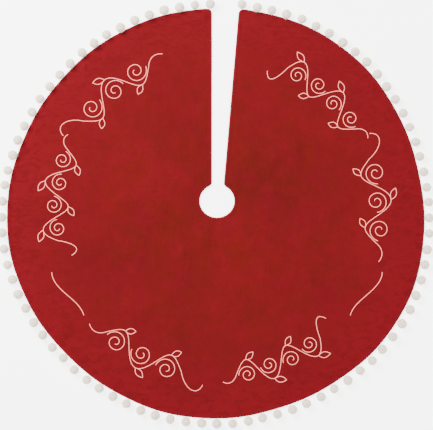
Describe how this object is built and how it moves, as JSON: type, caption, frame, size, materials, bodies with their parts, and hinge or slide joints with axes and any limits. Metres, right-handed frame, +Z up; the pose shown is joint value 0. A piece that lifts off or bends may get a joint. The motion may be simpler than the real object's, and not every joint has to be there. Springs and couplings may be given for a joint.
{
  "type": "tree skirt",
  "caption": "Round velvet tree skirt with an off-centre trunk hole, a slit, corded vine embroidery, ribbon ties and a pom-pom hem.",
  "frame": {"origin": "centre of the trunk hole, on the floor plane that the skirt lies on", "axes": "+Y runs from the trunk hole along the slit to the hem, +X to the right seen from above with the slit at the top, +Z up out of the velvet"},
  "size_m": [1.2808, 1.2806, 0.027],
  "materials": {
    "velvet": "short cotton velvet pile, soft sheen",
    "lining": "plain woven cotton lining",
    "wadding": "matte needled wadding",
    "tape": "woven cotton tape",
    "embroidery": "twisted embroidery cord",
    "ribbon": "ribbed ribbon, faint satin",
    "thread": "matte sewing thread",
    "label": "blank woven label",
    "yarn": "fluffy cut wool yarn"
  },
  "bodies": {
    "left_half": {"face_panel_left": "velvet", "interlining_left": "wadding", "lining_left": "lining", "pompom_tape_left": "tape", "neck_stay_left": "tape", "slit_stay_left": "tape", "vine_left": "embroidery", "vine_front_left": "embroidery", "swash_left": "embroidery", "tie_tabs_left": "ribbon", "tie_tacks_left": "thread", "closing_stitches": "thread", "care_label": "label", "label_stitches": "thread", "pompom_front": "yarn"},
    "right_half": {"face_panel_right": "velvet", "interlining_right": "wadding", "lining_right": "lining", "pompom_tape_right": "tape", "neck_stay_right": "tape", "slit_stay_right": "tape", "vine_right": "embroidery", "vine_front_right": "embroidery", "swash_right": "embroidery", "tie_tabs_right": "ribbon", "tie_tacks_right": "thread"},
    "tie_left_inner": {"tie_left_inner": "ribbon"},
    "tie_left_middle": {"tie_left_middle": "ribbon"},
    "tie_left_outer": {"tie_left_outer": "ribbon"},
    "tie_right_inner": {"tie_right_inner": "ribbon"},
    "tie_right_middle": {"tie_right_middle": "ribbon"},
    "tie_right_outer": {"tie_right_outer": "ribbon"},
    "pompoms_left_1": {"pompoms_left_1": "yarn"},
    "pompoms_left_2": {"pompoms_left_2": "yarn"},
    "pompoms_left_3": {"pompoms_left_3": "yarn"},
    "pompoms_left_4": {"pompoms_left_4": "yarn"},
    "pompoms_left_5": {"pompoms_left_5": "yarn"},
    "pompoms_left_6": {"pompoms_left_6": "yarn"},
    "pompoms_left_7": {"pompoms_left_7": "yarn"},
    "pompoms_left_8": {"pompoms_left_8": "yarn"},
    "pompoms_left_9": {"pompoms_left_9": "yarn"},
    "pompoms_left_10": {"pompoms_left_10": "yarn"},
    "pompoms_right_1": {"pompoms_right_1": "yarn"},
    "pompoms_right_2": {"pompoms_right_2": "yarn"},
    "pompoms_right_3": {"pompoms_right_3": "yarn"},
    "pompoms_right_4": {"pompoms_right_4": "yarn"},
    "pompoms_right_5": {"pompoms_right_5": "yarn"},
    "pompoms_right_6": {"pompoms_right_6": "yarn"},
    "pompoms_right_7": {"pompoms_right_7": "yarn"},
    "pompoms_right_8": {"pompoms_right_8": "yarn"},
    "pompoms_right_9": {"pompoms_right_9": "yarn"},
    "pompoms_right_10": {"pompoms_right_10": "yarn"}
  },
  "joints": [
    {"name": "fold_in_half", "type": "hinge", "parent": "left_half", "child": "right_half", "pos_m": [0, -0.3, 0.02], "axis": [0, -1, 0], "range_deg": [0, 140]},
    {"name": "tie_left_inner_swing", "type": "hinge", "parent": "left_half", "child": "tie_left_inner", "pos_m": [-0.0154, 0.08, 0.0004], "axis": [0, -1, 0], "range_deg": [0, 180]},
    {"name": "tie_left_middle_swing", "type": "hinge", "parent": "left_half", "child": "tie_left_middle", "pos_m": [-0.0154, 0.25, 0.0004], "axis": [0, -1, 0], "range_deg": [0, 180]},
    {"name": "tie_left_outer_swing", "type": "hinge", "parent": "left_half", "child": "tie_left_outer", "pos_m": [-0.0154, 0.42, 0.0004], "axis": [0, -1, 0], "range_deg": [0, 180]},
    {"name": "tie_right_inner_swing", "type": "hinge", "parent": "right_half", "child": "tie_right_inner", "pos_m": [0.02642, 0.11, 0.0004], "axis": [0, 1, 0], "range_deg": [0, 180]},
    {"name": "tie_right_middle_swing", "type": "hinge", "parent": "right_half", "child": "tie_right_middle", "pos_m": [0.04105, 0.28, 0.0004], "axis": [0, 1, 0], "range_deg": [0, 180]},
    {"name": "tie_right_outer_swing", "type": "hinge", "parent": "right_half", "child": "tie_right_outer", "pos_m": [0.05568, 0.45, 0.0004], "axis": [0, 1, 0], "range_deg": [0, 180]},
    {"name": "pompoms_left_1_sway", "type": "hinge", "parent": "left_half", "child": "pompoms_left_1", "pos_m": [-0.11237, -0.63738, 0.0036], "axis": [-0.9829, 0.184, 0], "range_deg": [-25, 20]},
    {"name": "pompoms_left_2_sway", "type": "hinge", "parent": "left_half", "child": "pompoms_left_2", "pos_m": [-0.28263, -0.57847, 0.0036], "axis": [-0.8865, 0.4627, 0], "range_deg": [-25, 20]},
    {"name": "pompoms_left_3_sway", "type": "hinge", "parent": "left_half", "child": "pompoms_left_3", "pos_m": [-0.44412, -0.45632, 0.0036], "axis": [-0.6865, 0.7271, 0], "range_deg": [-25, 20]},
    {"name": "pompoms_left_4_sway", "type": "hinge", "parent": "left_half", "child": "pompoms_left_4", "pos_m": [-0.5568, -0.28809, 0.0036], "axis": [-0.4111, 0.9116, 0], "range_deg": [-25, 20]},
    {"name": "pompoms_left_5_sway", "type": "hinge", "parent": "left_half", "child": "pompoms_left_5", "pos_m": [-0.60584, -0.11472, 0.0036], "axis": [-0.1272, 0.9919, 0], "range_deg": [-25, 20]},
    {"name": "pompoms_left_6_sway", "type": "hinge", "parent": "left_half", "child": "pompoms_left_6", "pos_m": [-0.60215, 0.0654, 0.0036], "axis": [0.1676, 0.9858, 0], "range_deg": [-25, 20]},
    {"name": "pompoms_left_7_sway", "type": "hinge", "parent": "left_half", "child": "pompoms_left_7", "pos_m": [-0.54609, 0.23662, 0.0036], "axis": [0.448, 0.8941, 0], "range_deg": [-25, 20]},
    {"name": "pompoms_left_8_sway", "type": "hinge", "parent": "left_half", "child": "pompoms_left_8", "pos_m": [-0.42663, 0.40011, 0.0036], "axis": [0.7156, 0.6985, 0], "range_deg": [-25, 20]},
    {"name": "pompoms_left_9_sway", "type": "hinge", "parent": "left_half", "child": "pompoms_left_9", "pos_m": [-0.26028, 0.51557, 0.0036], "axis": [0.9047, 0.4261, 0], "range_deg": [-25, 20]},
    {"name": "pompoms_left_10_sway", "type": "hinge", "parent": "left_half", "child": "pompoms_left_10", "pos_m": [-0.08776, 0.56746, 0.0036], "axis": [0.9896, 0.1437, 0], "range_deg": [-25, 20]},
    {"name": "pompoms_right_1_sway", "type": "hinge", "parent": "right_half", "child": "pompoms_right_1", "pos_m": [0.11201, -0.63744, 0.0036], "axis": [-0.983, -0.1834, 0], "range_deg": [-25, 20]},
    {"name": "pompoms_right_2_sway", "type": "hinge", "parent": "right_half", "child": "pompoms_right_2", "pos_m": [0.28179, -0.57891, 0.0036], "axis": [-0.8872, -0.4614, 0], "range_deg": [-25, 20]},
    {"name": "pompoms_right_3_sway", "type": "hinge", "parent": "right_half", "child": "pompoms_right_3", "pos_m": [0.42722, -0.47354, 0.0036], "axis": [-0.7147, -0.6994, 0], "range_deg": [-25, 20]},
    {"name": "pompoms_right_4_sway", "type": "hinge", "parent": "right_half", "child": "pompoms_right_4", "pos_m": [0.5357, -0.33042, 0.0036], "axis": [-0.4804, -0.8771, 0], "range_deg": [-25, 20]},
    {"name": "pompoms_right_5_sway", "type": "hinge", "parent": "right_half", "child": "pompoms_right_5", "pos_m": [0.60208, -0.13981, 0.0036], "axis": [-0.1683, -0.9857, 0], "range_deg": [-25, 20]},
    {"name": "pompoms_right_6_sway", "type": "hinge", "parent": "right_half", "child": "pompoms_right_6", "pos_m": [0.60272, 0.06203, 0.0036], "axis": [0.1621, -0.9868, 0], "range_deg": [-25, 20]},
    {"name": "pompoms_right_7_sway", "type": "hinge", "parent": "right_half", "child": "pompoms_right_7", "pos_m": [0.54787, 0.23303, 0.0036], "axis": [0.4421, -0.897, 0], "range_deg": [-25, 20]},
    {"name": "pompoms_right_8_sway", "type": "hinge", "parent": "right_half", "child": "pompoms_right_8", "pos_m": [0.44565, 0.3807, 0.0036], "axis": [0.6838, -0.7296, 0], "range_deg": [-25, 20]},
    {"name": "pompoms_right_9_sway", "type": "hinge", "parent": "right_half", "child": "pompoms_right_9", "pos_m": [0.30492, 0.49225, 0.0036], "axis": [0.8665, -0.4992, 0], "range_deg": [-25, 20]},
    {"name": "pompoms_right_10_sway", "type": "hinge", "parent": "right_half", "child": "pompoms_right_10", "pos_m": [0.13782, 0.55805, 0.0036], "axis": [0.9742, -0.2256, 0], "range_deg": [-25, 20]}
  ]
}
